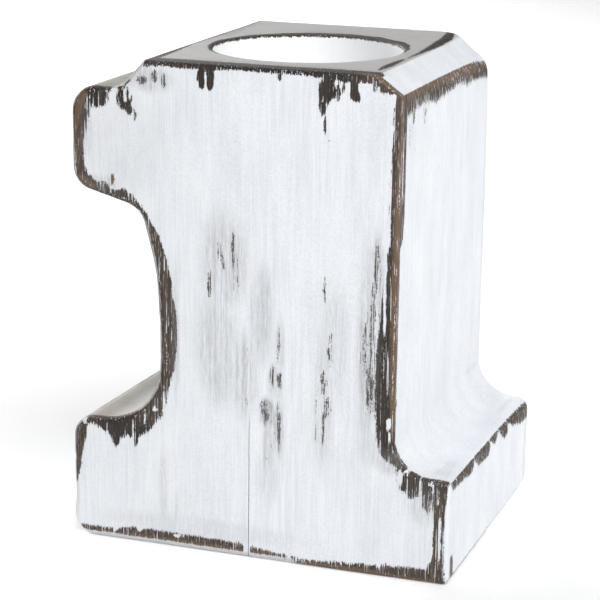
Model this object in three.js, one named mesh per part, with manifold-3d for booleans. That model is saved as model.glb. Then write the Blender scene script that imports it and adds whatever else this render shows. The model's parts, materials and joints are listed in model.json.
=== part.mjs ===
// A chunky wooden candle holder in the form of the numeral 1, in millimetres, +Z up.
//
// Two boards with upright grain are glued edge to edge, the numeral is sawn from the glued
// block, its edges are broken by hand sanding, and a round recess for a tealight is bored
// in the top across the glue line. The origin is the centre of the bottom of the block.
// +X is the reader's right when the numeral is read from the front, and the front faces -Y.

import * as THREE from 'three';
import { mergeVertices } from 'three/addons/utils/BufferGeometryUtils.js';
import Module from 'manifold-3d';

const wasm = await Module();
wasm.setup();

// Driving dimensions.
const HEIGHT = 101.6;
const WIDTH = 82;
const DEPTH = 66;
const BROKEN_EDGE = 1.2; // radius left by sanding along the front and back outlines

// The foot: a slab across the bottom, a little taller on the left than on the right.
const LEFT_FOOT_HEIGHT = 26.2;
const RIGHT_FOOT_HEIGHT = 21.8;
const FOOT_SIDE = WIDTH / 2;

// The upright stem, which narrows slightly from its top to its foot.
const STEM_LEFT = -20.6;
const STEM_RIGHT_AT_FOOT = 29.2;
const STEM_RIGHT_AT_TOP = 30.2;

// The flag: the short arm that stands out at the top left of the numeral.
const FLAG_SIDE = -40;
const FLAG_TOP = 95.5;
const FLAG_BOTTOM = 75.8;

// The flat top, with a plain slope down to the flag and a flat chamfer on the right.
const TOP_LEFT = -24.3;
const TOP_RIGHT = 24.8;
const CHAMFER_DROP = 4.1;

// The recess, bored with a flat-bottomed 40 mm bit for a tealight cup.
const RECESS_RADIUS = 20;
const RECESS_DEPTH = 18;
const RECESS_Y = -4;
const RECESS_RIM = 1;

// The glue line between the boards, kept just under the painted surface.
const GLUE_X = -1.5;
const GLUE_THICKNESS = 0.2;
const GLUE_INSET = 0.5;

const ARC_STEP = Math.PI / 24; // largest turn between two points of a rounded corner
const BEVEL_STEPS = 3;
const RECESS_SIDES = 72;
const RIM_STEPS = 4;
const CUTTER_OVERRUN = 5; // how far a cutting shape runs past what it cuts

// The numeral's outline, anticlockwise from the bottom left: [x, z, corner radius].
const OUTLINE = [
  [-FOOT_SIDE, 0, 4.5],
  [FOOT_SIDE, 0, 1.6],
  [FOOT_SIDE, RIGHT_FOOT_HEIGHT, 1.8],
  [STEM_RIGHT_AT_FOOT, RIGHT_FOOT_HEIGHT, 8],
  [STEM_RIGHT_AT_TOP, HEIGHT - CHAMFER_DROP, 1.6],
  [TOP_RIGHT, HEIGHT, 1.6],
  [TOP_LEFT, HEIGHT, 1.8],
  [-29.8, FLAG_TOP, 4],
  [FLAG_SIDE, FLAG_TOP, 5.5],
  [FLAG_SIDE, FLAG_BOTTOM, 5],
  [-25.2, 71.6, 5.5],
  [-21.3, 58, 40],
  [STEM_LEFT, 46, 60],
  [STEM_LEFT, LEFT_FOOT_HEIGHT, 12.3],
  [-FOOT_SIDE, LEFT_FOOT_HEIGHT, 4.5],
];

// The arc that rounds one corner, from the leg towards `before` to the leg towards `after`.
function cornerArc(before, corner, after) {
  const tip = new THREE.Vector2(corner[0], corner[1]);
  const toBefore = new THREE.Vector2(before[0], before[1]).sub(tip).normalize();
  const toAfter = new THREE.Vector2(after[0], after[1]).sub(tip).normalize();
  const halfAngle = Math.acos(toBefore.dot(toAfter)) / 2;
  const bisector = toBefore.clone().add(toAfter).normalize();
  const radius = corner[2];
  const centre = tip.clone().addScaledVector(bisector, radius / Math.sin(halfAngle));
  const reach = radius / Math.tan(halfAngle);
  const start = tip.clone().addScaledVector(toBefore, reach).sub(centre).angle();
  const end = tip.clone().addScaledVector(toAfter, reach).sub(centre).angle();
  const turn = Math.atan2(Math.sin(end - start), Math.cos(end - start));
  const steps = Math.max(2, Math.ceil(Math.abs(turn) / ARC_STEP));
  const points = [];
  for (let i = 0; i <= steps; i += 1) {
    const angle = start + (turn * i) / steps;
    const spoke = new THREE.Vector2(Math.cos(angle), Math.sin(angle));
    points.push(centre.clone().addScaledVector(spoke, radius));
  }
  return points;
}

function outlineShape(corners) {
  const points = corners.flatMap((corner, i) => {
    const before = corners[(i + corners.length - 1) % corners.length];
    const after = corners[(i + 1) % corners.length];
    return cornerArc(before, corner, after);
  });
  return new THREE.Shape(points);
}

function toSolid(geometry) {
  const bare = geometry.index ? geometry.clone() : geometry;
  bare.deleteAttribute('normal');
  bare.deleteAttribute('uv');
  const merged = mergeVertices(bare);
  return new wasm.Manifold(
    new wasm.Mesh({
      numProp: 3,
      vertProperties: new Float32Array(merged.attributes.position.array),
      triVerts: new Uint32Array(merged.index.array),
    }),
  );
}

function toGeometry(solid) {
  const mesh = solid.getMesh();
  const geometry = new THREE.BufferGeometry();
  geometry.setAttribute('position', new THREE.BufferAttribute(mesh.vertProperties, 3));
  geometry.setIndex(new THREE.BufferAttribute(mesh.triVerts, 1));
  return geometry;
}

function boxSolid(low, high) {
  const size = high.clone().sub(low);
  const middle = low.clone().add(high).multiplyScalar(0.5);
  const geometry = new THREE.BoxGeometry(size.x, size.y, size.z);
  return toSolid(geometry.translate(middle.x, middle.y, middle.z));
}

// The whole numeral as one sawn and sanded block, before the glue line divides it.
function numeralBlock() {
  const geometry = new THREE.ExtrudeGeometry(outlineShape(OUTLINE), {
    depth: DEPTH - 2 * BROKEN_EDGE,
    bevelThickness: BROKEN_EDGE,
    bevelSize: BROKEN_EDGE,
    bevelOffset: -BROKEN_EDGE,
    bevelSegments: BEVEL_STEPS,
  });
  geometry.translate(0, 0, BROKEN_EDGE - DEPTH / 2);
  return toSolid(geometry.rotateX(Math.PI / 2));
}

// The space that the boring bit and the sanded rim take out of the top.
function recessCutter() {
  const floor = HEIGHT - RECESS_DEPTH;
  const profile = [new THREE.Vector2(0, floor)];
  profile.push(new THREE.Vector2(RECESS_RADIUS, floor));
  for (let i = 0; i <= RIM_STEPS; i += 1) {
    const angle = ((Math.PI / 2) * i) / RIM_STEPS;
    const radius = RECESS_RADIUS + RECESS_RIM * (1 - Math.cos(angle));
    profile.push(new THREE.Vector2(radius, HEIGHT - RECESS_RIM * (1 - Math.sin(angle))));
  }
  profile.push(new THREE.Vector2(RECESS_RADIUS + RECESS_RIM, HEIGHT + CUTTER_OVERRUN));
  profile.push(new THREE.Vector2(0, HEIGHT + CUTTER_OVERRUN));
  const geometry = new THREE.LatheGeometry(profile, RECESS_SIDES);
  return toSolid(geometry.rotateX(Math.PI / 2).translate(0, RECESS_Y, 0));
}

// The part of the block on one side of the glue line.
function board(block, lowX, highX) {
  const low = new THREE.Vector3(lowX, -DEPTH / 2 - CUTTER_OVERRUN, -CUTTER_OVERRUN);
  const high = new THREE.Vector3(highX, DEPTH / 2 + CUTTER_OVERRUN, HEIGHT + CUTTER_OVERRUN);
  return block.intersect(boxSolid(low, high));
}

function glueLine(recess) {
  const halfDepth = DEPTH / 2 - GLUE_INSET;
  const low = new THREE.Vector3(GLUE_X - GLUE_THICKNESS / 2, -halfDepth, GLUE_INSET);
  const high = new THREE.Vector3(GLUE_X + GLUE_THICKNESS / 2, halfDepth, HEIGHT - GLUE_INSET);
  return boxSolid(low, high).subtract(recess);
}

function namedMesh(name, solid, material) {
  const mesh = new THREE.Mesh(toGeometry(solid), material);
  mesh.name = name;
  return mesh;
}

function paintedWood(color) {
  return new THREE.MeshStandardMaterial({ color, roughness: 0.6, metalness: 0 });
}

const recess = recessCutter();
const block = numeralBlock().subtract(recess);
const leftBoard = board(block, -FOOT_SIDE - CUTTER_OVERRUN, GLUE_X - GLUE_THICKNESS / 2);
const rightBoard = board(block, GLUE_X + GLUE_THICKNESS / 2, FOOT_SIDE + CUTTER_OVERRUN);
const glueMaterial = new THREE.MeshStandardMaterial({
  color: 0x8a7048,
  roughness: 0.45,
  metalness: 0,
});

const candleHolder = new THREE.Group();
candleHolder.add(namedMesh('left_board', leftBoard, paintedWood(0xe8ecf1)));
candleHolder.add(namedMesh('right_board', rightBoard, paintedWood(0xeef1f4)));
candleHolder.add(namedMesh('glue_line', glueLine(recess), glueMaterial));

export default candleHolder;
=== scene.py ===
"""The looks of a chunky wooden candle holder in the form of the numeral 1.

The two glued boards get a fine mesh with hand-sanded edges, and a distressed finish of
brushed white paint over dark brown stain. Lengths in the tables below are millimetres in
the part's own frame: x to the reader's right, y to the back, z up.
"""

import json
import math

import bmesh
import bpy
import numpy as np
from mathutils import Matrix, Vector


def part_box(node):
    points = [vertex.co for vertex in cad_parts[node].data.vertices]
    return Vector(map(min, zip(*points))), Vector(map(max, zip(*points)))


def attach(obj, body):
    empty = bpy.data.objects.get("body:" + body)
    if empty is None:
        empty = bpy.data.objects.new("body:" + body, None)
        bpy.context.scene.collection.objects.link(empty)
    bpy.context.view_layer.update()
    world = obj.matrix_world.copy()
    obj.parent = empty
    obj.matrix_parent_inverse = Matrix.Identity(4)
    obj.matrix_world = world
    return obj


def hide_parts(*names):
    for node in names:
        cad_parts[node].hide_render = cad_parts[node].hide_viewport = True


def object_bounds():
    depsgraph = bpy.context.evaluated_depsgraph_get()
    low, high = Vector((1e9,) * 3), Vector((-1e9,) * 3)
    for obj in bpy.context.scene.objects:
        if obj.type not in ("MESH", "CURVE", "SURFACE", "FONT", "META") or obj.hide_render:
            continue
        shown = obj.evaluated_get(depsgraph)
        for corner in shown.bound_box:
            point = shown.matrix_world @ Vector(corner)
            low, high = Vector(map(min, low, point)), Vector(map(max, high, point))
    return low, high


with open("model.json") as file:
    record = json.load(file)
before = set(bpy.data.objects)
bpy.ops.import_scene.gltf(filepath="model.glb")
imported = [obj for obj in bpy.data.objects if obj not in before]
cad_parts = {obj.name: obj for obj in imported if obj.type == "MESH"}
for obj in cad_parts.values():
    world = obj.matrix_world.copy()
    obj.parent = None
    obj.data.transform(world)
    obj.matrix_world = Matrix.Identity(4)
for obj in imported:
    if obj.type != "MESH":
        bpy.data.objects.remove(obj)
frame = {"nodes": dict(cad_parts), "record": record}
CAD_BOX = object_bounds()

# ------------------------------------------------------------------ sizes from the frame

MM = 0.001
LOW = np.array(CAD_BOX[0]) / MM
HIGH = np.array(CAD_BOX[1]) / MM
HEIGHT = float(HIGH[2] - LOW[2])
HALF_WIDTH = float(HIGH[0] - LOW[0]) / 2
HALF_DEPTH = float(HIGH[1] - LOW[1]) / 2
GLUE_BOX = [np.array(corner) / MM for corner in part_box("glue_line")]
GLUE_X = float(GLUE_BOX[0][0] + GLUE_BOX[1][0]) / 2
GLUE_HALF = float(GLUE_BOX[1][0] - GLUE_BOX[0][0]) / 2
RECESS_MOUNT = next(m for m in frame["record"]["mounts"] if m["name"] == "recess_floor")
PAINT_BUILD = 0.35  # thickness of the paint that has run together inside the recess
RECESS_FLOOR = RECESS_MOUNT["pos_m"][2] / MM + PAINT_BUILD
RECESS_Y = RECESS_MOUNT["pos_m"][1] / MM
BORED_RADIUS = 20.0
RECESS_RADIUS = BORED_RADIUS - PAINT_BUILD
RECESS_RIM = 0.5  # rounding of the rim
RECESS_CORNER = 0.6  # rounding where the wall meets the floor

# ------------------------------------------------------------------ shape of the block

FINE_STEP = 0.54  # spacing of the surface mesh
ARC_STEP = math.radians(9)  # largest turn between two points of a rounded corner
PROJECTION_ROUNDS = 4  # times that each point is moved onto the true surface

# The outline at the front and at the back, anticlockwise from the bottom left:
# x, z and corner radius. The back is sanded rounder than the front.
FRONT_OUTLINE = [
    (-HALF_WIDTH, 0.0, 4.8),
    (HALF_WIDTH, 0.0, 1.2),
    (HALF_WIDTH, 21.5, 1.4),
    (28.9, 21.65, 7.8),
    (29.25, 97.75, 0.8),
    (23.9, HEIGHT, 0.8),
    (-24.5, HEIGHT, 0.9),
    (-30.0, 95.6, 4.0),
    (-40.4, 95.8, 5.3),
    (-40.4, 75.3, 5.0),
    (-25.6, 71.3, 5.5),
    (-22.2, 58.0, 40.0),
    (-21.5, 46.0, 60.0),
    (-21.5, 26.2, 12.8),
    (-HALF_WIDTH, 26.3, 4.7),
]
BACK_OUTLINE = [
    (-HALF_WIDTH, 0.0, 4.0),
    (HALF_WIDTH, 0.0, 2.5),
    (HALF_WIDTH, 20.9, 3.0),
    (29.4, 20.6, 8.1),
    (29.45, 95.8, 5.2),
    (22.6, HEIGHT, 5.0),
    (-24.4, HEIGHT, 0.9),
    (-30.0, 95.3, 4.5),
    (-40.3, 95.3, 4.8),
    (-40.3, 75.0, 5.0),
    (-25.4, 71.0, 5.5),
    (-21.9, 58.0, 40.0),
    (-21.2, 46.0, 60.0),
    (-21.2, 25.6, 12.3),
    (-HALF_WIDTH, 26.0, 6.9),
]


def smooth_step(low, high, value):
    """0 at low and 1 at high, eased at both ends; low may be above high."""
    t = np.clip((value - low) / (high - low), 0.0, 1.0)
    return t * t * (3.0 - 2.0 * t)


def lattice_noise(points, size, seed):
    """Smooth noise from -1 to 1 with lumps about size millimetres across."""
    count = 32  # the table repeats after this many lumps along each axis
    table = np.random.default_rng(seed).random((count, count, count))
    scaled = points / size
    cell = np.floor(scaled).astype(int)
    part = scaled - cell
    part = part * part * (3.0 - 2.0 * part)
    total = np.zeros(len(points))
    for corner in np.ndindex(2, 2, 2):
        weight = np.prod(np.where(corner, part, 1.0 - part), axis=1)
        index = (cell + corner) % count
        total += weight * table[index[:, 0], index[:, 1], index[:, 2]]
    return total * 2.0 - 1.0


class Corner:
    """One rounded corner of an outline: where its arc starts and ends, and its centre."""

    def __init__(self, before, tip, after):
        tip_at = np.array(tip[:2])
        to_before = np.array(before[:2]) - tip_at
        to_after = np.array(after[:2]) - tip_at
        to_before /= np.linalg.norm(to_before)
        to_after /= np.linalg.norm(to_after)
        half = math.acos(float(to_before @ to_after)) / 2
        bisector = (to_before + to_after) / np.linalg.norm(to_before + to_after)
        self.radius = tip[2]
        self.centre = tip_at + bisector * self.radius / math.sin(half)
        self.start = tip_at + to_before * self.radius / math.tan(half)
        self.end = tip_at + to_after * self.radius / math.tan(half)
        self.middle = -bisector  # from the centre to the middle of the arc
        self.reach = math.cos(math.pi / 2 - half)  # cosine of half the arc's turn
        turn = to_after[1] * -to_before[0] - to_after[0] * -to_before[1]
        self.side = 1.0 if turn > 0 else -1.0  # 1 where the corner sticks out

    def points(self, steps):
        """Points along the arc, its two ends included."""
        first = math.atan2(*(self.start - self.centre)[::-1])
        last = math.atan2(*(self.end - self.centre)[::-1])
        sweep = (last - first + math.pi) % (2 * math.pi) - math.pi
        angles = first + sweep * np.linspace(0, 1, steps + 1)
        return self.centre + self.radius * np.c_[np.cos(angles), np.sin(angles)]

    def arc_steps(self):
        """How many steps the arc needs to stay within ARC_STEP."""
        return max(3, math.ceil(2 * math.acos(min(1.0, self.reach)) / ARC_STEP))


def outline_corners(outline):
    """The rounded corners of a closed outline."""
    count = len(outline)
    return [
        Corner(outline[i - 1], outline[i], outline[(i + 1) % count]) for i in range(count)
    ]


FRONT_CORNERS = outline_corners(FRONT_OUTLINE)
BACK_CORNERS = outline_corners(BACK_OUTLINE)


def outline_distance(xz, corners):
    """Signed distance to an outline, negative inside, and its outward direction."""
    best = np.full(len(xz), 1e9)
    direction = np.zeros((len(xz), 2))

    def keep(distance, outward, valid):
        """Takes over the points that this arc or edge is the nearest to so far."""
        closer = valid & (np.abs(distance) < np.abs(best))
        best[closer] = distance[closer]
        direction[closer] = outward[closer]

    for i, corner in enumerate(corners):
        spoke = xz - corner.centre
        length = np.maximum(np.linalg.norm(spoke, axis=1), 1e-9)
        spoke /= length[:, None]
        keep(
            corner.side * (length - corner.radius),
            corner.side * spoke,
            spoke @ corner.middle >= corner.reach - 1e-6,
        )
        start = corner.end
        along = corners[(i + 1) % len(corners)].start - start
        reach = np.linalg.norm(along)
        along /= reach
        outward = np.array([along[1], -along[0]])
        step = (xz - start) @ along
        keep(
            (xz - start) @ outward,
            np.broadcast_to(outward, xz.shape),
            (step >= -0.01) & (step <= reach + 0.01),
        )
    return best, direction


def edge_radius(points):
    """The radius to which sanding has rounded the front or back edge near each point."""
    x, y, z = points.T
    left = smooth_step(-17.0, -23.0, x)
    waist = left * smooth_step(24.0, 30.0, z) * smooth_step(76.0, 70.0, z)
    base_left = smooth_step(6.0, 0.0, z) * smooth_step(22.0, -30.0, x)
    left = left * smooth_step(2.0, 8.0, z)
    front = 0.7 + 0.7 * left + 0.3 * waist + 0.3 * base_left
    high = smooth_step(96.0, 100.0, z) * smooth_step(24.0, 16.0, x)
    shoulder = smooth_step(86.0, 100.0, z) * smooth_step(18.0, 26.0, x)
    back = 1.9 + 0.4 * smooth_step(0.0, 24.0, x) + 2.0 * shoulder - 1.0 * high
    base = np.where(y < 0, front, back)
    return base * (1.0 + 0.15 * lattice_noise(points, 11.0, 3))


def rounded_join(a, a_out, b, b_out, radius):
    """The larger of two distances, with its edge rounded, and the outward direction."""
    over_a = a + radius
    over_b = b + radius
    both = (over_a > 0) & (over_b > 0)
    length = np.maximum(np.hypot(over_a, over_b), 1e-9)
    distance = np.where(both, length - radius, np.maximum(a, b))
    share_a = np.where(both, over_a / length, (a >= b).astype(float))
    share_b = np.where(both, over_b / length, (a < b).astype(float))
    outward = share_a[:, None] * a_out + share_b[:, None] * b_out
    outward /= np.maximum(np.linalg.norm(outward, axis=1), 1e-9)[:, None]
    return distance, outward


def block_distance(points):
    """Signed distance to the sanded numeral with its recess, and the outward direction."""
    x, y, z = points.T
    depth_share = np.clip((y + HALF_DEPTH) / (2 * HALF_DEPTH), 0.0, 1.0)
    front, front_out = outline_distance(points[:, [0, 2]], FRONT_CORNERS)
    back, back_out = outline_distance(points[:, [0, 2]], BACK_CORNERS)
    side = front * (1 - depth_share) + back * depth_share
    flat_out = front_out * (1 - depth_share)[:, None] + back_out * depth_share[:, None]
    side_out = np.c_[flat_out[:, 0], np.zeros(len(points)), flat_out[:, 1]]
    end = np.abs(y) - HALF_DEPTH
    end_out = np.c_[np.zeros(len(points)), np.sign(y), np.zeros(len(points))]
    block, block_out = rounded_join(side, side_out, end, end_out, edge_radius(points))

    from_axis = np.hypot(x, y - RECESS_Y)
    radial = np.c_[x, y - RECESS_Y, np.zeros(len(points))]
    radial /= np.maximum(from_axis, 1e-9)[:, None]
    down = np.tile([0.0, 0.0, -1.0], (len(points), 1))
    hole, hole_out = rounded_join(
        from_axis - RECESS_RADIUS, radial, RECESS_FLOOR - z, down, RECESS_CORNER
    )
    return rounded_join(block, block_out, -hole, -hole_out, RECESS_RIM)


def hand_work(points):
    """How far below the true surface saw marks, sanding and knocks have left it."""
    x, y, z = points.T
    off_base = smooth_step(0.2, 3.0, z)
    waves = 0.05 + 0.03 * lattice_noise(points, 17.0, 11)
    waves += 0.02 * lattice_noise(points, 5.0, 12)
    side = outline_distance(points[:, [0, 2]], FRONT_CORNERS)[0]
    from_edge = np.hypot(np.minimum(side, 0), np.minimum(np.abs(y) - HALF_DEPTH, 0))
    knocks = smooth_step(0.35, 0.85, lattice_noise(points, 2.4, 13))
    knocks *= smooth_step(2.0, 0.4, from_edge)
    return off_base * (waves + 0.2 * knocks)


# ------------------------------------------------------------------ mesh of the boards


def lofted_numeral():
    """A plain solid between the front and back outlines, to start from, in millimetres."""
    steps = [max(a.arc_steps(), b.arc_steps()) for a, b in zip(FRONT_CORNERS, BACK_CORNERS)]
    mesh = bmesh.new()
    rings = []
    for corners, y in ((FRONT_CORNERS, -HALF_DEPTH), (BACK_CORNERS, HALF_DEPTH)):
        flat = np.concatenate([c.points(n) for c, n in zip(corners, steps)])
        rings.append([mesh.verts.new((p[0], y, p[1])) for p in flat])
    front, back = rings
    mesh.faces.new(front)
    mesh.faces.new(back[::-1])
    for i in range(len(front)):
        mesh.faces.new((front[i - 1], back[i - 1], back[i], front[i]))
    bmesh.ops.recalc_face_normals(mesh, faces=mesh.faces)
    return new_object("numeral_start", mesh)


def recess_solid():
    """The cylinder that the boring bit takes out, in millimetres."""
    mesh = bmesh.new()
    height = HEIGHT - RECESS_FLOOR + 5.0
    place = Matrix.Translation((0, RECESS_Y, RECESS_FLOOR + height / 2))
    bmesh.ops.create_cone(
        mesh,
        cap_ends=True,
        segments=96,
        radius1=RECESS_RADIUS,
        radius2=RECESS_RADIUS,
        depth=height,
        matrix=place,
    )
    return new_object("recess_start", mesh)


def new_object(name, mesh):
    """Puts a bmesh in the scene as an object, and frees the bmesh."""
    data = bpy.data.meshes.new(name)
    mesh.to_mesh(data)
    mesh.free()
    made = bpy.data.objects.new(name, data)
    bpy.context.scene.collection.objects.link(made)
    return made


def with_modifiers(source):
    """The mesh of an object after its modifiers, as a bmesh."""
    graph = bpy.context.evaluated_depsgraph_get()
    mesh = bmesh.new()
    mesh.from_mesh(source.evaluated_get(graph).to_mesh())
    return mesh


def fine_block():
    """The whole sanded numeral as one fine mesh, each point put on the true surface."""
    start = lofted_numeral()
    bit = recess_solid()
    cut = start.modifiers.new("recess", "BOOLEAN")
    cut.operation = "DIFFERENCE"
    cut.object = bit
    even = start.modifiers.new("even", "REMESH")
    even.mode = "VOXEL"
    even.voxel_size = FINE_STEP
    mesh = with_modifiers(start)
    for used in (start, bit):
        bpy.data.objects.remove(used)
    points = np.array([v.co for v in mesh.verts])
    for _ in range(PROJECTION_ROUNDS):
        distance, outward = block_distance(points)
        points -= outward * (distance + hand_work(points))[:, None]
    points[:, 2] = np.maximum(points[:, 2], 0.0)
    for vert, point in zip(mesh.verts, points):
        vert.co = point * MM
    return mesh


JOINT_FINE_CUTS = (0.15, 0.35, 0.6, 0.9, 1.3)  # extra edge loops beside the glue line
JOINT_LIP = 0.12  # depth of the narrow lip beside the joint
OPEN_JOINT_TOP = 29.0  # below this the joint has opened on the front
OPEN_JOINT_HALF = 0.08  # half the width of the hairline at its widest
BEAD_OFFSET = 0.55  # the ridge of paint stands this far to the left of the joint
BEAD_HALF_WIDTH = 0.36
BEAD_HEIGHT = 0.2
BEAD_REACH = 2.5  # the ridge has died away this far from the joint


def joint_gap(points):
    """Half the width of the open hairline at points beside the glue line."""
    x, y, z = points.T
    opened = smooth_step(-HALF_DEPTH + 3.0, -HALF_DEPTH + 1.0, y)
    opened *= smooth_step(OPEN_JOINT_TOP + 3.0, OPEN_JOINT_TOP - 2.0, z)
    wander = 0.5 + 0.5 * lattice_noise(points, 3.0, 21)
    return OPEN_JOINT_HALF * opened * (0.55 + 0.45 * wander)


def paint_bead(points):
    """Height of the ridge of paint that stands beside the joint on the front."""
    x, y, z = points.T
    bottom = smooth_step(0.4, 1.6, z) * smooth_step(31.0, 24.0, z)
    higher = 0.3 * smooth_step(24.0, 31.0, z) * smooth_step(74.0, 66.0, z)
    wander = 0.12 * np.sin(z / 3.1) + 0.08 * lattice_noise(points, 4.0, 22)
    line = GLUE_X - BEAD_OFFSET + wander
    bead = np.exp(-(((x - line) / BEAD_HALF_WIDTH) ** 2))
    on_front = smooth_step(-HALF_DEPTH + 1.2, -HALF_DEPTH + 0.5, y)
    return BEAD_HEIGHT * (bottom + higher) * bead * on_front


def cut_at(mesh, x, keep=0):
    """Cuts the mesh along the plane at x, and keeps the side that keep points to."""
    everything = mesh.verts[:] + mesh.edges[:] + mesh.faces[:]
    bmesh.ops.bisect_plane(
        mesh,
        geom=everything,
        dist=1e-7,
        plane_co=(x * MM, 0, 0),
        plane_no=(1, 0, 0),
        clear_inner=keep > 0,
        clear_outer=keep < 0,
    )


def board_mesh(block, side):
    """One board: the block on one side of the glue line (-1 left, 1 right)."""
    mesh = block.copy()
    face_x = GLUE_X + side * GLUE_HALF
    cut_at(mesh, face_x, keep=side)
    for offset in JOINT_FINE_CUTS:
        cut_at(mesh, face_x + side * offset)
    for vert in mesh.verts:
        if abs(vert.co.x / MM - face_x) < BEAD_REACH:
            point = np.array([vert.co]) / MM
            vert.co.y = max(vert.co.y - float(paint_bead(point)[0]) * MM, -HALF_DEPTH * MM)
    rim = [edge for edge in mesh.edges if edge.is_boundary]
    made = bmesh.ops.extrude_edge_only(mesh, edges=rim)["geom"]
    inner = [v for v in made if isinstance(v, bmesh.types.BMVert)]
    inner_edges = [e for e in made if isinstance(e, bmesh.types.BMEdge)]
    points = np.array([v.co for v in inner]) / MM
    outward = block_distance(points)[1]
    outward[:, 0] = 0
    outward /= np.linalg.norm(outward, axis=1)[:, None]
    for vert, point, direction in zip(inner, points, outward):
        vert.co = (point - direction * JOINT_LIP) * MM
    lips = {v for edge in rim for v in edge.verts}
    for vert in lips:
        gap = joint_gap(np.array([vert.co]) / MM)[0]
        vert.co.x = (GLUE_X + side * gap) * MM
    bmesh.ops.contextual_create(mesh, geom=inner_edges)
    bmesh.ops.recalc_face_normals(mesh, faces=mesh.faces)
    return mesh


# ------------------------------------------------------------------ where the paint is worn, and where shade and light are painted

# A band runs along an edge: (first axis, z, how far the wear reaches from there), and the
# last number is how softly it fades. Front bands are (x, z), side bands (y, z) and top
# bands (x, y).
FRONT_BANDS = (
    ([(-24.3, 101.2, 0.9), (-21, 101.6, 1.0), (-12, 101.6, 1.3), (-5, 101.6, 0.8)], 0.9),
    ([(-5, 101.6, 0.8), (4, 101.6, 0.9), (12, 101.6, 1.1), (18, 101.6, 1.7)], 0.9),
    ([(18, 101.6, 1.7), (24.5, 101.6, 1.7), (26.8, 99.9, 1.3), (29.2, 98.0, 1.5)], 0.9),
    ([(29.4, 98.0, 1.6), (29.4, 90, 1.7), (29.4, 80, 2.0), (29.3, 70, 2.0)], 0.7),
    ([(29.3, 70, 2.0), (29.3, 62, 2.5), (29.3, 56, 3.5), (29.3, 45, 4.2)], 1.1),
    ([(29.3, 45, 4.2), (29.3, 35, 4.1), (29.3, 30, 3.8), (29.4, 27.5, 3.3)], 1.0),
    ([(29.4, 27.5, 3.3), (30.0, 25.8, 2.0), (30.8, 24.4, 0.8), (32.2, 23.0, 2.2)], 1.6),
    ([(32.2, 23.0, 2.2), (34, 22.2, 4.2), (37, 22, 3.4), (41, 21.8, 3.2)], 2.6),
    ([(41, 21.8, 3.2), (41, 15, 3.2), (41, 8, 3.2), (41, 3, 3.5), (41, 0, 4.0)], 0.9),
    ([(41, 0, 3.2), (35, 0, 2.8), (28, 0, 2.4), (22, 0, 1.9), (16, 0, 1.6)], 1.7),
    ([(16, 0, 1.6), (12, 0, 1.2), (6, 0, 1.6), (-4, 0, 2.8), (-12, 0, 3.0)], 1.3),
    ([(-12, 0, 3.0), (-20, 0, 3.1), (-28, 0, 2.9), (-34, 0, 2.0), (-38.5, 1.0, 1.2)], 1.4),
    ([(-41, 12.5, 1.2), (-41, 16, 1.8), (-41, 20, 2.5), (-40.2, 24.4, 2.6)], 0.8),
    ([(-40.2, 24.4, 2.6), (-37.5, 26.2, 1.2), (-34.5, 26.2, 2.0), (-31, 26.2, 3.8)], 1.6),
    ([(-31, 26.2, 3.8), (-29.3, 26.3, 2.9), (-27, 27.2, 4.2), (-25.0, 28.8, 3.6)], 1.9),
    ([(-25.0, 28.8, 3.6), (-23.4, 31.2, 3.3), (-22.2, 34.5, 3.0), (-21.5, 40, 3.9)], 1.2),
    ([(-21.5, 40, 3.9), (-21.4, 45, 4.1), (-21.6, 51, 4.1), (-22.0, 56, 3.8)], 0.9),
    ([(-22.0, 56, 3.8), (-22.3, 61, 3.0), (-23.0, 65.5, 2.1), (-24.2, 69.5, 0.9)], 0.8),
    ([(-24.2, 69.5, 0.9), (-25.5, 71.6, 0.7), (-27.5, 72.4, 1.5), (-29.0, 72.9, 1.9)], 0.9),
    ([(-29.0, 72.9, 1.7), (-32, 73.7, 1.5), (-35.5, 74.9, 1.6)], 1.3),
    ([(-35.5, 74.9, 1.6), (-38, 76.4, 1.9), (-39.8, 79, 2.3), (-40.2, 84, 2.6)], 0.9),
    ([(-40.2, 84, 2.6), (-40.2, 88, 3.4), (-39.8, 91, 4.0), (-38.4, 94, 3.6)], 1.2),
    ([(-38.4, 94, 3.4), (-36.5, 95.4, 2.4), (-34, 95.5, 1.7), (-32, 95.5, 0.9)], 1.2),
    ([(-29.8, 96.0, 0.7), (-27.6, 97.4, 0.5)], 0.6),
)

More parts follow.
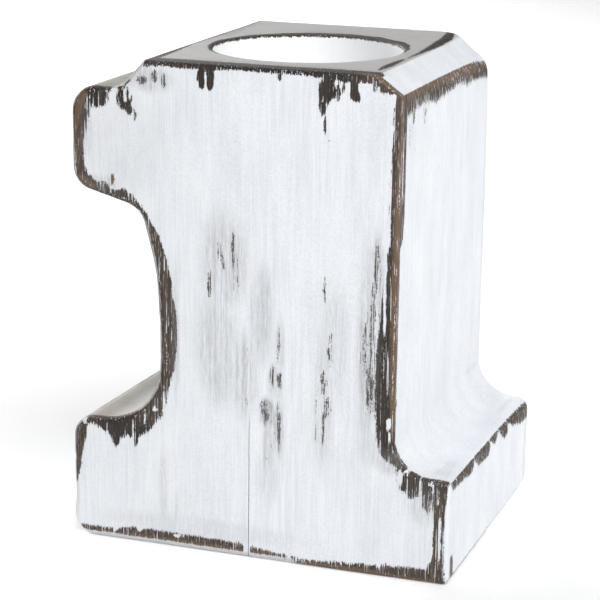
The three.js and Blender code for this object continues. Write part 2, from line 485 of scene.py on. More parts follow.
# Separate marks on the front: x, z, half width, half height and how worn they are.
FRONT_MARKS = (
    (-34.0, 93.4, 2.4, 2.0, 0.9),
    (-28.6, 93.8, 1.9, 2.8, 0.88),
    (-27.6, 91.7, 1.0, 1.4, 0.75),
    (-26.2, 90.5, 0.4, 1.3, 0.6),
    (-24.6, 97.6, 1.3, 1.0, 0.68),
    (-22.0, 98.4, 1.0, 1.6, 0.56),
    (-19.9, 97.8, 0.7, 1.8, 0.56),
    (-11.9, 99.0, 1.0, 2.4, 1.2),
    (-10.2, 98.8, 0.9, 2.4, 1.2),
    (4.5, 100.0, 0.5, 0.8, 0.9),
    (14.0, 98.2, 1.2, 3.0, 1.3),
    (13.3, 94.4, 0.6, 1.5, 1.2),
    (12.7, 97.2, 0.25, 2.6, 0.8),
    (13.9, 91.4, 0.35, 2.0, 0.85),
    (14.9, 88.2, 0.3, 0.4, 0.8),
    (15.4, 98.6, 0.3, 2.2, 0.85),
    (16.4, 97.8, 0.6, 2.0, 1.1),
    (17.6, 99.4, 0.45, 1.6, 0.85),
    (19.6, 98.6, 0.8, 2.4, 1.2),
    (20.4, 97.2, 0.7, 1.4, 0.75),
    (23.8, 99.4, 0.4, 1.5, 0.8),
    (25.6, 99.2, 0.8, 1.3, 0.75),
    (-31.4, 77.0, 0.6, 1.6, 0.75),
    (-33.4, 75.9, 1.2, 0.8, 0.6),
    (-28.8, 74.2, 1.0, 1.4, 0.8),
    (-27.4, 73.4, 0.9, 1.2, 0.8),
    (-31.0, 22.6, 1.0, 2.4, 0.85),
    (-28.0, 24.2, 0.7, 1.8, 0.8),
    (-26.5, 22.9, 0.8, 2.2, 0.8),
    (-23.6, 26.4, 0.9, 1.9, 0.8),
    (-21.0, 29.6, 0.7, 2.4, 0.8),
    (-19.6, 33.0, 0.35, 3.6, 0.65),
    (-5.3, 65.0, 0.45, 4.8, 0.64),
    (-8.2, 64.2, 0.45, 3.0, 0.6),
    (-7.4, 62.2, 0.35, 2.2, 0.55),
    (-4.2, 61.0, 0.4, 5.0, 0.58),
    (-10.2, 57.2, 0.7, 3.2, 0.62),
    (-9.8, 47.0, 0.25, 7.0, 0.46),
    (-2.1, 33.6, 0.5, 1.4, 0.45),
    (4.7, 46.5, 0.55, 4.2, 0.6),
    (3.3, 39.4, 0.6, 2.8, 0.6),
    (4.9, 38.2, 0.6, 3.2, 0.64),
    (2.4, 32.2, 1.8, 3.0, 0.5),
    (4.8, 29.0, 0.9, 5.4, 0.46),
    (2.8, 24.5, 0.5, 5.0, 0.3),
    (12.9, 34.3, 0.25, 4.2, 0.85),
    (12.9, 28.4, 0.3, 2.6, 0.55),
    (14.3, 39.4, 0.9, 3.0, 0.44),
    (14.3, 29.8, 0.5, 4.2, 0.58),
    (15.2, 34.0, 1.0, 2.6, 0.42),
    (15.8, 46.5, 0.9, 4.0, 0.46),
    (14.2, 58.0, 0.5, 4.0, 0.5),
    (-20.7, 18.6, 0.6, 1.4, 0.5),
    (28.0, 26.6, 1.6, 1.8, 0.75),
    (30.6, 23.0, 1.2, 1.2, 0.2),
    (33.0, 19.6, 1.2, 2.6, 0.75),
    (36.3, 17.6, 1.0, 3.4, 0.7),
    (24.9, 63.0, 0.9, 6.0, 0.55),
    (24.2, 52.0, 0.9, 9.0, 0.55),
    (24.0, 39.5, 0.9, 6.5, 0.6),
    (22.8, 47.0, 0.8, 9.0, 0.42),
    (37.4, 3.0, 0.7, 2.0, 0.8),
)

# Spots where the paint still stands inside the worn bands, in the same form.
FRONT_PAINT_LEFT = (
    (-1.9, 2.4, 0.8, 2.2, 1.0),
    (-31.4, 2.9, 0.5, 1.6, 0.95),
    (-25.9, 3.0, 0.45, 1.1, 0.85),
    (-17.4, 2.5, 0.8, 0.3, 0.9),
    (-38.3, 25.2, 0.6, 0.9, 0.9),
    (-24.4, 27.2, 0.22, 2.2, 0.9),
    (-22.2, 29.6, 0.5, 0.5, 0.9),
    (-20.4, 33.0, 0.2, 3.4, 0.8),
    (-18.2, 56.0, 0.2, 4.0, 0.9),
    (-18.9, 47.0, 0.16, 5.0, 0.6),
    (-36.8, 91.6, 0.22, 2.0, 0.9),
    (-30.9, 95.0, 0.7, 1.6, 1.0),
    (-28.4, 94.4, 0.25, 1.6, 0.9),
    (-27.3, 94.9, 0.2, 1.4, 0.8),
    (-11.1, 98.0, 0.3, 1.8, 0.9),
    (27.6, 97.1, 0.5, 1.3, 1.0),
    (26.7, 56.0, 0.22, 6.0, 0.9),
    (26.9, 65.0, 0.3, 4.0, 0.9),
    (27.2, 71.0, 0.2, 3.0, 0.8),
    (25.1, 55.0, 0.2, 4.0, 0.8),
    (26.6, 45.0, 0.16, 7.0, 0.7),
    (27.6, 42.0, 0.2, 6.0, 0.85),
    (24.85, 38.0, 0.2, 9.0, 0.95),
    (28.0, 32.4, 0.5, 1.5, 1.0),
    (28.2, 29.6, 0.25, 1.6, 0.9),
    (39.1, 9.5, 0.18, 5.6, 0.95),
    (38.4, 18.0, 0.25, 2.6, 0.9),
    (37.4, 20.0, 0.35, 1.4, 0.9),
    (34.8, 19.0, 0.3, 3.0, 0.95),
    (31.9, 22.8, 0.7, 0.5, 0.8),
    (36.9, 20.9, 0.6, 0.4, 0.7),
    (4.1, 36.4, 0.9, 0.9, 1.0),
    (3.4, 31.4, 0.3, 2.0, 0.6),
    (30.6, 21.6, 0.7, 1.6, 0.9),
    (40.75, 10.3, 0.75, 12.0, 1.0),
)

# Where the paint has only been rubbed thin, so that the stain greys it.
FRONT_RUBBED = (
    (-22.5, 97.8, 4.6, 2.6, 0.6),
    (-7.0, 62.0, 5.0, 10.0, 0.6),
    (-8.5, 44.0, 4.5, 12.0, 0.55),
    (-2.5, 39.0, 2.8, 9.0, 0.62),
    (1.0, 52.0, 2.6, 10.0, 0.55),
    (5.0, 46.0, 1.0, 5.5, 0.6),
    (2.4, 31.5, 1.9, 3.4, 0.9),
    (4.9, 28.5, 1.1, 6.5, 0.9),
    (2.6, 24.0, 1.2, 6.0, 0.6),
    (4.0, 38.5, 1.6, 4.0, 0.5),
    (2.5, 18.0, 2.5, 6.0, 0.3),
    (14.3, 36.0, 2.2, 14.0, 0.5),
    (16.5, 48.0, 3.0, 12.0, 0.34),
    (23.4, 48.0, 2.4, 20.0, 0.65),
    (25.0, 62.0, 1.6, 9.0, 0.65),
    (24.0, 27.0, 2.6, 4.0, 0.35),
    (28.0, 24.5, 3.0, 2.6, 0.5),
    (35.5, 16.5, 3.0, 4.5, 0.5),
    (-20.5, 12.0, 0.9, 10.0, 0.35),
    (-17.5, 8.0, 0.5, 4.0, 0.4),
    (-12.0, 5.0, 22.0, 2.2, 0.25),
    (-34.5, 76.0, 5.0, 1.8, 0.5),
    (-37.0, 87.0, 1.4, 6.0, 0.5),
    (-29.0, 84.0, 9.0, 9.0, 0.16),
    (-17.6, 46.0, 0.9, 14.0, 0.5),
)

# Where the stain lies thick and dark, in the same form as the marks.
FRONT_DEEP = (
    (-36.5, 92.0, 5.0, 5.5, 1.0),
    (-29.0, 94.0, 3.4, 4.0, 0.9),
    (0.0, 102.0, 32.0, 1.7, 1.0),
    (-11.0, 99.0, 3.0, 4.0, 0.8),
    (16.0, 97.0, 5.0, 6.0, 0.8),
    (-29.0, 23.5, 8.0, 4.5, 0.9),
    (27.0, 44.0, 2.6, 22.0, 0.8),
    (34.0, 20.0, 5.0, 3.0, 0.5),
)

SIDE_BANDS = (
    ([(-33, 98, 3.8), (-33, 76, 3.8), (-33, 70.5, 3.3), (-33, 68.5, 1.6)], 0.7),
    ([(-33, 68.5, 1.6), (-33, 60, 1.0), (-33, 50, 0.5), (-33, 42, 0.4)], 0.7),
    ([(-33, 42, 0.4), (-33, 38, 0.8), (-33, 36, 2.2), (-33, 33.5, 0.7), (-33, 26, 0.9)], 0.8),
    ([(-31, 97, 3.6), (-25, 97.2, 3.4), (-20, 97.2, 2.8), (-14, 97, 3.0), (-9, 97, 3.8)], 3.2),
    ([(-9, 97, 3.8), (-3, 97, 3.2), (3, 96.6, 2.6), (8, 96.2, 1.6), (14, 95.6, 2.2)], 3.0),
    ([(14, 95.6, 2.2), (20, 95.2, 1.8), (27, 94.6, 1.8), (33, 94, 1.6)], 2.2),
    ([(-32, 21.8, 2.4), (-27, 21.8, 2.6), (-22, 21.8, 2.8), (-17, 21.6, 3.2)], 1.6),
    ([(-17, 21.6, 3.2), (-13, 21.6, 1.2), (-10, 21.5, 3.4), (-4, 21.4, 3.6)], 1.6),
    ([(-4, 21.4, 3.6), (-1, 21.4, 1.0), (3, 21.3, 2.6), (7, 21.2, 1.0)], 1.5),
    ([(7, 21.2, 1.0), (11, 21.1, 3.6), (14, 21.0, 1.0), (19, 20.9, 3.0)], 1.5),
    ([(19, 20.9, 3.0), (25, 20.8, 4.2), (33, 20.7, 4.8)], 1.6),
    ([(-33, 0, 1.0), (-20, 0, 0.9), (-5, 0, 0.9), (10, 0, 0.7), (33, 0, 0.6)], 0.7),
)
SIDE_MARKS = (
    (-30.4, 2.6, 1.5, 3.2, 0.9),
    (-17.5, 92.0, 1.6, 2.8, 0.42),
    (-24.8, 92.8, 0.9, 2.0, 0.6),
    (-26.5, 90.0, 1.4, 4.0, 0.3),
)
SIDE_PAINT_LEFT = ((-32.2, 12.5, 1.2, 9.0, 1.0), (-31.0, 83.0, 0.3, 6.5, 0.9))
SIDE_RUBBED = (
    (-3.0, 56.0, 1.4, 6.0, 0.16),
    (-22.0, 88.0, 7.0, 6.0, 0.12),
    (32.0, 50.0, 2.2, 46.0, 0.3),
    (31.0, 10.0, 2.4, 12.0, 0.45),
)

# On the top: along the front and left edges, and along the foot of the chamfer's slope.
TOP_BANDS = (
    ([(-25, -33, 4.2), (-16, -33, 4.5), (-6, -33, 4.2), (4, -33, 4.0)], 1.6),
    ([(4, -33, 4.0), (14, -33, 4.5), (25, -33, 4.1)], 1.6),
    ([(-24.8, -33, 2.6), (-24.8, -25, 2.1), (-24.8, -16, 1.7), (-24.8, -8, 1.1)], 0.9),
    ([(-24.8, -8, 1.1), (-24.8, 10, 1.2), (-24.8, 33, 1.0)], 0.9),
    ([(22.4, -26, 0.4), (22.4, -20, 0.8), (22.5, -13, 0.5), (22.7, -9, 0.1)], 0.5),
    ([(22.7, -9, 0.15), (22.8, 0, 0.3), (22.8, 6, 0.6), (22.6, 15, 1.1)], 0.6),
    ([(22.6, 15, 1.1), (22.2, 22, 1.2), (21.2, 28, 1.0), (20, 33, 0.8)], 0.8),
)
TOP_RUBBED = (
    (-23.2, 16.0, 1.3, 15.0, 0.75),
    (-22.0, 10.0, 1.0, 5.0, 0.6),
    (0.0, -28.0, 26.0, 2.0, 0.4),
    (0.0, 20.0, 9.0, 1.6, 0.5),
)

# Where even the stain is gone and the wood shows tan, as bands on the front and the side.
FRONT_BARE_BANDS = (
    ([(29.4, 90, 0.2), (29.2, 84, 0.6), (29.0, 76, 0.7), (28.9, 66, 0.8)], 0.8),
    ([(28.9, 66, 0.8), (28.8, 55, 0.9), (28.7, 40, 0.8), (28.9, 31, 0.4)], 0.7),
    ([(-36, 1.3, 0.2), (-20, 1.3, 0.35), (-6, 1.3, 0.4), (6, 1.0, 0.5)], 0.5),
    ([(6, 0.9, 0.5), (14, 0.7, 0.5), (26, 0.5, 0.35), (38, 0.4, 0.3)], 0.5),
    ([(-39.4, 80, 0.2), (-39.4, 86, 0.3), (-38.6, 91, 0.8), (-37.6, 94, 1.0)], 0.9),
    ([(-38.6, 77.0, 0.5), (-35.5, 75.2, 0.4)], 0.6),
    ([(20, 101.9, 0.3), (24.3, 101.3, 0.5), (29.0, 98.2, 0.5)], 0.6),
    ([(30.4, 25.6, 0.4), (31.8, 23.8, 0.4)], 0.4),
)
FRONT_BARE_MARKS = (
    (-31.4, 77.0, 0.9, 1.8, 0.9),
    (29.2, 86.4, 0.5, 1.6, 0.9),
    (3.0, 1.6, 2.4, 0.5, 0.7),
    (-17.0, 2.0, 3.0, 0.5, 0.4),
)
SIDE_BARE_BANDS = (
    ([(-33, 97, 1.6), (-33, 85, 1.4), (-33, 70, 1.4), (-33, 50, 0.6)], 1.2),
    ([(-33, 31, 0.6), (-33, 24, 0.6), (-30, 22, 0.4)], 0.8),
    ([(-28, 98, 1.6), (-10, 98, 1.6), (4, 97, 1.2), (22, 96, 1.0)], 2.4),
)
SIDE_BARE_MARKS = ((-30.2, 2.4, 1.0, 2.4, 0.9), (2.0, 97.0, 7.0, 1.4, 0.6))

# How far wear spreads outward from the recess's wall: degrees round from the right, width.
RIM_WEAR = (
    (0, 0.3),
    (15, 0.8),
    (45, 2.4),
    (75, 3.2),
    (105, 3.2),
    (135, 2.4),
    (160, 1.5),
    (180, 1.2),
    (205, 0.8),
    (225, 0.45),
    (255, 0.35),
    (270, 0.0),
    (345, 0.0),
    (360, 0.3),
)

BASE_PAINT_TOP = 1.15  # below this the rounded bottom edge kept its paint
TOP_FACE_DROP = 0.8  # points this far below the top's height no longer count as the top
SHARP_ANGLE = math.radians(58)
MOST_SMOOTH_SIDES = 6  # a face with more sides is the flat one inside the joint


def band_cover(u, v, bands):
    """How worn each point (u, v) is by the nearest stretch of the bands, from 0 to 1."""
    cover = np.zeros(len(u))
    for path, softness in bands:
        for (u0, v0, reach0), (u1, v1, reach1) in zip(path, path[1:]):
            length = math.hypot(u1 - u0, v1 - v0)
            share = ((u - u0) * (u1 - u0) + (v - v0) * (v1 - v0)) / length**2
            share = np.clip(share, 0.0, 1.0)
            away = np.hypot(u - u0 - share * (u1 - u0), v - v0 - share * (v1 - v0))
            inside = reach0 + share * (reach1 - reach0) - away
            cover = np.maximum(cover, np.clip(0.5 + inside / softness, 0.0, 1.0))
    return cover


def mark_cover(u, v, marks):
    """How strongly the separate marks show at each point (u, v), from 0 to 1."""
    cover = np.zeros(len(u))
    for u0, v0, half_u, half_v, strength in marks:
        away = np.hypot((u - u0) / half_u, (v - v0) / half_v)
        cover = np.maximum(cover, strength * smooth_step(1.35, 0.55, away))
    return cover


def rim_cover(points):
    """Wear on the recess's rim: wide at the back, narrow at the left, none at the front."""
    x, y, z = points.T
    from_axis = np.hypot(x, y - RECESS_Y)
    angle = np.degrees(np.arctan2(y - RECESS_Y, x)) % 360.0
    width = np.interp(angle, *zip(*RIM_WEAR))
    width *= 1.0 + 0.2 * lattice_noise(points, 3.0, 31)
    ring = smooth_step(width + 0.5, width - 0.1, from_axis - RECESS_RADIUS)
    return ring * smooth_step(0.02, 0.2, width) * smooth_step(0.55, 0.25, HEIGHT - z)


def general_wear(points, normals):
    """Wear on edges that have no marks of their own: round the back, left and base."""
    x, y, z = points.T
    side = outline_distance(points[:, [0, 2]], FRONT_CORNERS)[0]
    rear = outline_distance(points[:, [0, 2]], BACK_CORNERS)[0]
    side = np.where(y < 0, side, rear)
    from_outline = np.hypot(np.minimum(side, 0), np.minimum(np.abs(y) - HALF_DEPTH, 0))
    ridges = ((-38.6, 94.0), (-39.0, 77.0), (-39.6, 24.8), (-39.6, 1.4), (-24.4, HEIGHT))
    from_ridge = np.min([np.hypot(x - rx, z - rz) - 0.9 for rx, rz in ridges], axis=0)
    nearest = np.minimum(from_outline, np.maximum(from_ridge, 0))
    reach = 1.1 + 1.5 * lattice_noise(points, 15.0, 32) + 0.7 * lattice_noise(points, 5.0, 33)
    cover = np.clip(0.5 + (reach - nearest) / 1.4, 0.0, 1.0)
    scattered = smooth_step(0.45, 0.8, lattice_noise(points * (1.0, 1.0, 0.3), 3.2, 34))
    return np.maximum(cover, 0.42 * scattered * smooth_step(0.1, 0.6, np.abs(normals[:, 1])))


def wear_and_painted_light_fields(points, normals):
    """How worn, bare, rubbed, greyed, freshly painted and deeply stained each point is, 0 to 1;
    part of the greying is painted shade, and the recess's paint is brightened as painted light.
    """
    x, y, z = points.T
    right, up = normals[:, 0], normals[:, 2]
    on_front = smooth_step(-HALF_DEPTH + 2.2, -HALF_DEPTH + 1.2, y)
    on_right = smooth_step(0.68, 0.9, right) * smooth_step(6.0, 12.0, x)
    on_right *= (x > 38.0) | (z > 28.5)
    in_recess = (np.hypot(x, y - RECESS_Y) < RECESS_RADIUS + 0.3) & (z > RECESS_FLOOR - 1)
    on_right *= ~in_recess
    on_top = smooth_step(0.55, 0.75, up) * ~in_recess
    on_top *= smooth_step(TOP_FACE_DROP, TOP_FACE_DROP / 2, HEIGHT - z)
    hollow = (x > 24) & (right > 0.05) & (up > 0.15)
    turned_left = smooth_step(0.35, 0.6, -right) * smooth_step(-29.5, -31.0, y) * (x < -18)
    elsewhere = (1 - on_front) * (1 - on_right) * (1 - on_top) * ~in_recess * ~hollow
    elsewhere *= 1 - smooth_step(-20.0, -33.0, y) * (x < -19) * (up > 0.3)

    front = np.maximum(band_cover(x, z, FRONT_BANDS), mark_cover(x, z, FRONT_MARKS))
    front *= 1 - mark_cover(x, z, FRONT_PAINT_LEFT)
    kept_at_base = smooth_step(BASE_PAINT_TOP + 0.15, BASE_PAINT_TOP - 0.15, z)
    front *= 1 - kept_at_base * smooth_step(14, 4, x)
    side = np.maximum(band_cover(y, z, SIDE_BANDS), mark_cover(y, z, SIDE_MARKS))
    side *= 1 - mark_cover(y, z, SIDE_PAINT_LEFT)
    top = band_cover(x, y, TOP_BANDS)
    worn = np.max(
        [
            front * on_front,
            side * on_right * (1 - on_front),
            top * on_top,
            rim_cover(points),
            general_wear(points, normals) * elsewhere,
        ],
        axis=0,
    )
    worn *= 1 - turned_left
    bare_front = np.maximum(
        band_cover(x, z, FRONT_BARE_BANDS), mark_cover(x, z, FRONT_BARE_MARKS)
    )
    bare_side = np.maximum(band_cover(y, z, SIDE_BARE_BANDS), mark_cover(y, z, SIDE_BARE_MARKS))
    bare_rest = smooth_step(0.1, 0.7, lattice_noise(points, 9.0, 35)) * elsewhere
    bare = np.max([bare_front * on_front, bare_side * on_right, 0.8 * bare_rest], axis=0)
    rubbed = np.max(
        [
            mark_cover(x, z, FRONT_RUBBED) * on_front,
            mark_cover(y, z, SIDE_RUBBED) * on_right,
            mark_cover(x, y, TOP_RUBBED) * on_top,
            0.25 * smooth_step(0.0, 0.6, lattice_noise(points, 12.0, 36)) * elsewhere,
        ],
        axis=0,
    )
    below_top = z < HEIGHT - TOP_FACE_DROP
    slope = smooth_step(95.6, 96.8, z) * below_top
    left_top = smooth_step(0.2, 0.6, up) * (x < -20) * (y > -32.3) * below_top
    # Grey paint on the top face, and painted shade on the faces listed below.
    grey_and_painted_shade = np.max(
        [
            # The top face, painted greyer.
            0.7 * smooth_step(0.86, 0.97, up) * ~below_top * ~in_recess,
            # Painted shade on the upward faces left of the stem: the left foot's top, in the
            # stem's shadow, and the flag's top.
            left_top * (1 - 0.6 * slope),
            # Painted shade on the roundings turned to the left, away from the light, stronger
            # above the foot.
            turned_left * (0.15 + 0.75 * smooth_step(8.0, 16.0, z)),
            # Painted shade on the rounding under the front's bottom edge, which faces down.
            0.4 * smooth_step(BASE_PAINT_TOP + 0.1, BASE_PAINT_TOP - 0.2, z) * (y < 0),
            # Slight painted shade, darkening the front towards the left.
            0.08 * smooth_step(8.0, -35.0, x) * on_front,
        ],
        axis=0,
    )
    return {
        "worn": worn,
        "bare": bare,
        "rubbed": rubbed,
        "grey_and_painted_shade": grey_and_painted_shade,
        # Unworn paint in the recess, brightened as painted light.
        "fresh_and_painted_light": in_recess.astype(float),
        "deep": np.maximum(mark_cover(x, z, FRONT_DEEP) * on_front, up * (z > HEIGHT - 1.2)),
    }


def finish_board(mesh, name):
    """Turns a board's mesh into a smooth-shaded object that carries its wear and its painted
    shade and light.
    """
    for face in mesh.faces:
        face.smooth = len(face.verts) <= MOST_SMOOTH_SIDES
    points = np.array([v.co for v in mesh.verts]) / MM
    normals = block_distance(points)[1]
    board = new_object(name, mesh)
    board.data.set_sharp_from_angle(angle=SHARP_ANGLE)
    for key, values in wear_and_painted_light_fields(points, normals).items():
        layer = board.data.attributes.new(key, "FLOAT", "POINT")
        layer.data.foreach_set("value", values.astype(np.float32))
    return board


# ------------------------------------------------------------------ materials

# Linear colours.
PAINT_LIGHT = (0.86, 0.88, 0.91, 1)
PAINT_SHADE = (0.70, 0.73, 0.78, 1)
# Unworn paint for the recess, brighter than the rest as painted light.
PAINT_FRESH_AND_LIT = (0.92, 0.925, 0.935, 1)
# Grey paint of the top face, which also serves as painted shade; the soiled colour mottles it
# browner.
PAINT_GREY_AND_SHADE = (0.270, 0.255, 0.225, 1)
PAINT_SOILED_AND_SHADE = (0.220, 0.185, 0.145, 1)
PAINT_THIN = (0.19, 0.19, 0.195, 1)
STAIN_DARK = (0.034, 0.024, 0.019, 1)
STAIN_LIGHT = (0.115, 0.084, 0.066, 1)
STAIN_DEEP = (0.012, 0.009, 0.008, 1)
STAIN_GREYED = (0.17, 0.165, 0.16, 1)
BARE_WOOD = (0.195, 0.120, 0.075, 1)
GLUE_DARK = (0.030, 0.022, 0.016, 1)
GLUE_LIGHT = (0.085, 0.062, 0.040, 1)
FLOOR_COLOR = (0.93, 0.93, 0.93, 1)


class Shader:
    """A material's node tree, with short calls for the nodes used here."""

    def __init__(self, name):
        self.material = bpy.data.materials.new(name)
        self.material.use_nodes = True
        self.tree = self.material.node_tree
        self.tree.nodes.clear()

    def add(self, kind, inputs, **settings):
        """A new node; each of its inputs is linked to a socket or set to a value."""
        made = self.tree.nodes.new(kind)
        for key, value in settings.items():
            setattr(made, key, value)
        for key, value in inputs.items():
            if isinstance(value, bpy.types.NodeSocket):
                self.tree.links.new(value, made.inputs[key])
            else:
                made.inputs[key].default_value = value
        return made

    def position(self):
        """Where the surface is in the part's frame, in millimetres."""
        place = self.add("ShaderNodeTexCoord", {}).outputs["Object"]
        scaled = self.add("ShaderNodeVectorMath", {0: place, "Scale": 1 / MM}, operation="SCALE")
        return scaled.outputs["Vector"]

    def noise(self, place, per_mm, detail=2.0, roughness=0.5, shift=0.0):
        """Noise whose lumps per millimetre along each axis are per_mm."""
        stretched = self.add(
            "ShaderNodeMapping",
            {"Vector": place, "Location": (shift, shift, shift), "Scale": per_mm},
        )
        made = self.add(
            "ShaderNodeTexNoise",
            {
                "Vector": stretched.outputs["Vector"],
                "Scale": 1.0,
                "Detail": detail,
                "Roughness": roughness,
            },
        )
        return made.outputs["Fac"]

    def faces_right(self):
        """1 on surfaces that face the object's right, as its side and slopes there do."""
        normal = self.add("ShaderNodeNewGeometry", {}).outputs["True Normal"]
        along_x = self.add("ShaderNodeSeparateXYZ", {"Vector": normal}).outputs["X"]
        return self.ramp(along_x, 0.2, 0.4)

    def attribute(self, name):
        """One of the wear fields that the mesh carries."""
        return self.add("ShaderNodeAttribute", {}, attribute_name=name).outputs["Fac"]

    def math(self, operation, a, b=0.0, clamp=False):
        return self.add(
            "ShaderNodeMath", {0: a, 1: b}, operation=operation, use_clamp=clamp
        ).outputs["Value"]

    def ramp(self, value, low, high, to_low=0.0, to_high=1.0):
        """value from low..high carried to to_low..to_high, held at the ends."""
        return self.add(
            "ShaderNodeMapRange",
            {
                "Value": value,
                "From Min": low,
                "From Max": high,
                "To Min": to_low,
                "To Max": to_high,
            },
            clamp=True,
        ).outputs["Result"]

    def mix_value(self, share, a, b):
        """The number a where share is 0 and b where it is 1."""
        return self.add("ShaderNodeMix", {0: share, 2: a, 3: b}, data_type="FLOAT").outputs[0]

    def mix(self, share, a, b):
        """The colour a where share is 0 and b where it is 1."""
        return self.add("ShaderNodeMix", {0: share, 6: a, 7: b}, data_type="RGBA").outputs[2]

    def weighed(self, *parts):
        """The sum of (value, weight) pairs."""
        total = 0.0
        for value, weight in parts:
            inputs = {0: value, 1: weight, 2: total}
            total = self.add("ShaderNodeMath", inputs, operation="MULTIPLY_ADD").outputs["Value"]
        return total

    def threshold(self, amount, level, sharpness):
        """1 where amount is over level, with an edge as steep as sharpness."""
        over = self.math("SUBTRACT", amount, level)
        return self.math("MULTIPLY_ADD", over, sharpness, clamp=True)

    def surface(self, color, roughness, height, depth):
        """The finished material, with height as bumps of up to depth."""
        bump = self.add("ShaderNodeBump", {"Strength": 1.0, "Distance": depth, "Height": height})
        shader = self.add(
            "ShaderNodeBsdfPrincipled",
            {
                "Base Color": color,
                "Roughness": roughness,
                "Normal": bump.outputs["Normal"],
                "Specular IOR Level": 0.35,
            },
        )
        self.add("ShaderNodeOutputMaterial", {"Surface": shader.outputs["BSDF"]})
        return self.material


def distressed_paint(name, shift):
    """White brushed paint over brown stain, worn where the mesh's fields say, with painted shade
    and painted light where they say so too.
    """
    s = Shader(name)
    place = s.position()
    streak = s.mix_value(
        s.faces_right(),
        s.noise(place, (4.4, 4.4, 0.34), detail=3.0, roughness=0.6, shift=shift),
        s.noise(place, (0.34, 4.4, 0.34), detail=3.0, roughness=0.6, shift=shift),
    )
    broad = s.noise(place, (1.2, 1.2, 0.14), shift=shift + 7)
    speck = s.noise(place, (3.2, 3.2, 2.4), detail=3.0, roughness=0.6, shift=shift + 13)
    brush = s.noise(place, (5.0, 5.0, 0.1), detail=2.0, roughness=0.6, shift=shift + 19)
    sweep = s.noise(place, (1.3, 1.3, 0.04), detail=2.0, roughness=0.6, shift=shift + 23)
    mottle = s.noise(place, (1.7, 1.7, 1.1), detail=4.0, roughness=0.7, shift=shift + 61)
    grain = s.noise(place, (3.0, 3.0, 0.16), detail=3.0, roughness=0.6, shift=shift + 29)
    hair = s.noise(place, (3.4, 3.4, 0.06), detail=1.0, shift=shift + 43)
    calm = s.ramp(s.noise(place, (0.06, 0.06, 0.04), shift=shift + 37), 0.42, 0.6)
    cloud = s.noise(place, (0.16, 0.16, 0.07), detail=3.0, roughness=0.6, shift=shift + 71)
    pores = s.noise(place, (4.5, 4.5, 3.0), detail=2.0, roughness=0.7, shift=shift + 83)

    ragged = s.weighed((streak, 0.46), (broad, 0.26), (speck, 0.28))
    level = s.ramp(ragged, 0.36, 0.64, 0.1, 0.9)
    kept = s.ramp(hair, 0.60, 0.66, 0.0, 0.5)
    scored = s.math("MULTIPLY", s.ramp(hair, 0.40, 0.33), s.attribute("rubbed"))
    amount = s.math("SUBTRACT", s.attribute("worn"), kept)
    amount = s.math("ADD", amount, s.math("MULTIPLY", scored, 0.45))
    worn = s.threshold(amount, level, 8.0)
    bare_level = s.ramp(s.weighed((grain, 0.6), (speck, 0.4)), 0.38, 0.62, 0.1, 0.9)
    bare = s.threshold(s.attribute("bare"), bare_level, 4.0)
    thin_share = s.ramp(s.weighed((streak, 0.5), (sweep, 0.5)), 0.4, 0.62, 0.1, 1.0)
    thin = s.math("MULTIPLY", s.attribute("rubbed"), thin_share, clamp=True)

    lines = s.weighed((brush, 0.30), (sweep, 0.22), (cloud, 0.18), (pores, 0.30))
    cloudy = s.weighed((brush, 0.12), (sweep, 0.10), (cloud, 0.22), (mottle, 0.20), (pores, 0.36))
    tone = s.mix_value(calm, lines, cloudy)
    paint = s.mix(s.ramp(tone, 0.40, 0.58), PAINT_SHADE, PAINT_LIGHT)
    # The recess gets unworn paint, brightened as painted light.
    paint = s.mix(s.attribute("fresh_and_painted_light"), paint, PAINT_FRESH_AND_LIT)
    # Grey paint, mottled browner, which also serves as painted shade.
    soiled = s.ramp(s.weighed((cloud, 0.6), (mottle, 0.4)), 0.46, 0.62)
    grey_and_shade = s.mix(soiled, PAINT_GREY_AND_SHADE, PAINT_SOILED_AND_SHADE)
    paint = s.mix(s.attribute("grey_and_painted_shade"), paint, grey_and_shade)
    paint = s.mix(s.math("MULTIPLY", thin, 0.8), paint, PAINT_THIN)

    stain = s.mix(s.ramp(grain, 0.36, 0.66), STAIN_DARK, STAIN_LIGHT)
    stain = s.mix(s.math("MULTIPLY", s.attribute("deep"), 0.75), stain, STAIN_DEEP)
    stain = s.mix(s.math("MULTIPLY", s.attribute("rubbed"), 0.6), stain, STAIN_GREYED)
    stain = s.mix(s.math("MULTIPLY", bare, 0.6), stain, BARE_WOOD)
    flecks = s.ramp(streak, 0.59, 0.67, 0.0, 0.6)
    flecks = s.math("MULTIPLY", flecks, s.ramp(s.attribute("deep"), 0.0, 1.0, 1.0, 0.15))
    stain = s.mix(flecks, stain, PAINT_SHADE)
    color = s.mix(worn, paint, stain)

    roughness = s.ramp(worn, 0.0, 1.0, 0.55, 0.66)
    relief = s.weighed((brush, 0.12), (mottle, 0.12), (grain, 0.2), (worn, -0.9))
    return s.surface(color, roughness, relief, 0.1 * MM)


def dried_glue():
    """Dried wood glue, brown and uneven."""
    s = Shader("dried_glue")
    place = s.position()
    lumps = s.noise(place, (1.5, 1.5, 0.7), detail=3.0)
    color = s.mix(s.ramp(lumps, 0.35, 0.65), GLUE_DARK, GLUE_LIGHT)
    return s.surface(color, s.ramp(lumps, 0.3, 0.7, 0.3, 0.5), lumps, 0.05 * MM)


def floor_material():
    """Plain pale paper, which glows a little so that its shadows stay light."""
    material = bpy.data.materials.new("pale_floor")
    material.use_nodes = True
    shader = material.node_tree.nodes["Principled BSDF"]
    shader.inputs["Base Color"].default_value = FLOOR_COLOR
    shader.inputs["Roughness"].default_value = 0.9
    shader.inputs["Specular IOR Level"].default_value = 0.1
    shader.inputs["Emission Color"].default_value = (1, 1, 1, 1)
    shader.inputs["Emission Strength"].default_value = FLOOR_GLOW
    return material


# ------------------------------------------------------------------ stage, light and camera

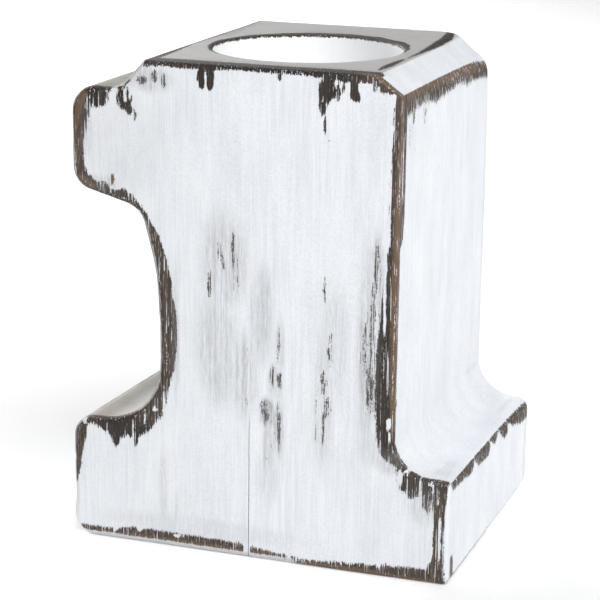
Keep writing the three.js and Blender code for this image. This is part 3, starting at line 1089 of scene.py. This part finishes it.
# Lengths from here on are metres, apart from the camera's lens and sensor.
FLOOR_GLOW = 0.13  # strength of the light that the floor itself gives off
FLOOR_RADIUS = 1.3
SWEEP_RADIUS = 0.9
SWEEP_STEPS = 12
FLOOR_DROP = 0.05 * MM  # the floor lies this far below the block
SOFT_BOX_SIZE = 0.7
SOFT_BOX_DISTANCE = 1.1


def studio_floor():
    """A round pale floor that sweeps up into a low wall on every side."""
    profile = [(0.0, 0.0), (FLOOR_RADIUS, 0.0)]
    for step in range(1, SWEEP_STEPS + 1):
        angle = math.radians(90) * step / SWEEP_STEPS
        radius = FLOOR_RADIUS + SWEEP_RADIUS * math.sin(angle)
        profile.append((radius, SWEEP_RADIUS * (1 - math.cos(angle))))
    mesh = bmesh.new()
    ring = [mesh.verts.new((radius, 0, z - FLOOR_DROP)) for radius, z in profile]
    edges = [mesh.edges.new(pair) for pair in zip(ring, ring[1:])]
    bmesh.ops.spin(
        mesh,
        geom=ring + edges,
        cent=(0, 0, 0),
        axis=(0, 0, 1),
        angle=math.radians(360),
        steps=96,
        use_merge=True,
    )
    bmesh.ops.remove_doubles(mesh, verts=mesh.verts, dist=0.0001)
    for face in mesh.faces:
        face.smooth = True
    floor = new_object("floor", mesh)
    floor.data.materials.append(floor_material())


def soft_light(name, azimuth, elevation, power):
    """A square soft box aimed at the object; azimuth 0 is in front, 90 at its right."""
    data = bpy.data.lights.new(name, "AREA")
    data.shape = "SQUARE"
    data.size = SOFT_BOX_SIZE
    data.energy = power
    a, e = math.radians(azimuth), math.radians(elevation)
    away = Vector((math.sin(a) * math.cos(e), -math.cos(a) * math.cos(e), math.sin(e)))
    light = bpy.data.objects.new(name, data)
    light.location = Vector((0, 0, HEIGHT / 2 * MM)) + away * SOFT_BOX_DISTANCE
    light.rotation_euler = away.to_track_quat("Z", "Y").to_euler()
    light.visible_camera = False
    bpy.context.scene.collection.objects.link(light)


def studio_light():
    """Four soft boxes, and no light from the world."""
    soft_light("left_rear_box", -130, 24, 11.6)
    soft_light("front_box", 18, 48, 4.2)
    soft_light("key_box", 48, 55, 4.4)
    soft_light("right_box", 70, 33, 4.7)
    world = bpy.data.worlds.new("studio")
    bpy.context.scene.world = world
    world.use_nodes = True
    background = world.node_tree.nodes["Background"]
    background.inputs["Strength"].default_value = 0.0


# The camera stands in front of the numeral and to its right, and looks a little down.
CAMERA_AT = Vector((146.2, -420.5, 165.2)) * MM
CAMERA_YAW = math.radians(19.48)
CAMERA_PITCH = math.radians(14.89)
CAMERA_ROLL = math.radians(0.66)
CAMERA_LENS = 129.05
CAMERA_SENSOR = 36.0


def place_camera():
    """Places the camera from its yaw, pitch and roll."""
    forward = Vector(
        (
            -math.sin(CAMERA_YAW) * math.cos(CAMERA_PITCH),
            math.cos(CAMERA_YAW) * math.cos(CAMERA_PITCH),
            -math.sin(CAMERA_PITCH),
        )
    )
    level_right = forward.cross(Vector((0, 0, 1))).normalized()
    level_up = level_right.cross(forward)
    right = math.cos(CAMERA_ROLL) * level_right + math.sin(CAMERA_ROLL) * level_up
    up = math.cos(CAMERA_ROLL) * level_up - math.sin(CAMERA_ROLL) * level_right
    data = bpy.data.cameras.new("camera")
    data.lens = CAMERA_LENS
    data.sensor_width = CAMERA_SENSOR
    data.clip_start = 0.01
    camera = bpy.data.objects.new("camera", data)
    bpy.context.scene.collection.objects.link(camera)
    camera.matrix_world = Matrix.Translation(CAMERA_AT) @ Matrix(
        (
            (right.x, up.x, -forward.x, 0),
            (right.y, up.y, -forward.y, 0),
            (right.z, up.z, -forward.z, 0),
            (0, 0, 0, 1),
        )
    )
    bpy.context.scene.camera = camera


# ------------------------------------------------------------------ the object


def build_boards():
    """The two painted boards, each in place of its CAD solid."""
    block = fine_block()
    for side, node, slot, shift in (
        (-1, "left_board", "painted_wood_left", 0.0),
        (1, "right_board", "painted_wood_right", 53.0),
    ):
        board = finish_board(board_mesh(block, side), "painted_" + node)
        board.data.materials.append(distressed_paint(slot, shift))
        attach(board, "root")
        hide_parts(node)
    block.free()


def dress_glue_line():
    """Gives the CAD glue film its material."""
    glue = frame["nodes"]["glue_line"]
    glue.data.materials.clear()
    glue.data.materials.append(dried_glue())


build_boards()
dress_glue_line()
studio_floor()
studio_light()
place_camera()

view = bpy.context.scene.view_settings
view.view_transform = "Standard"
view.look = "None"
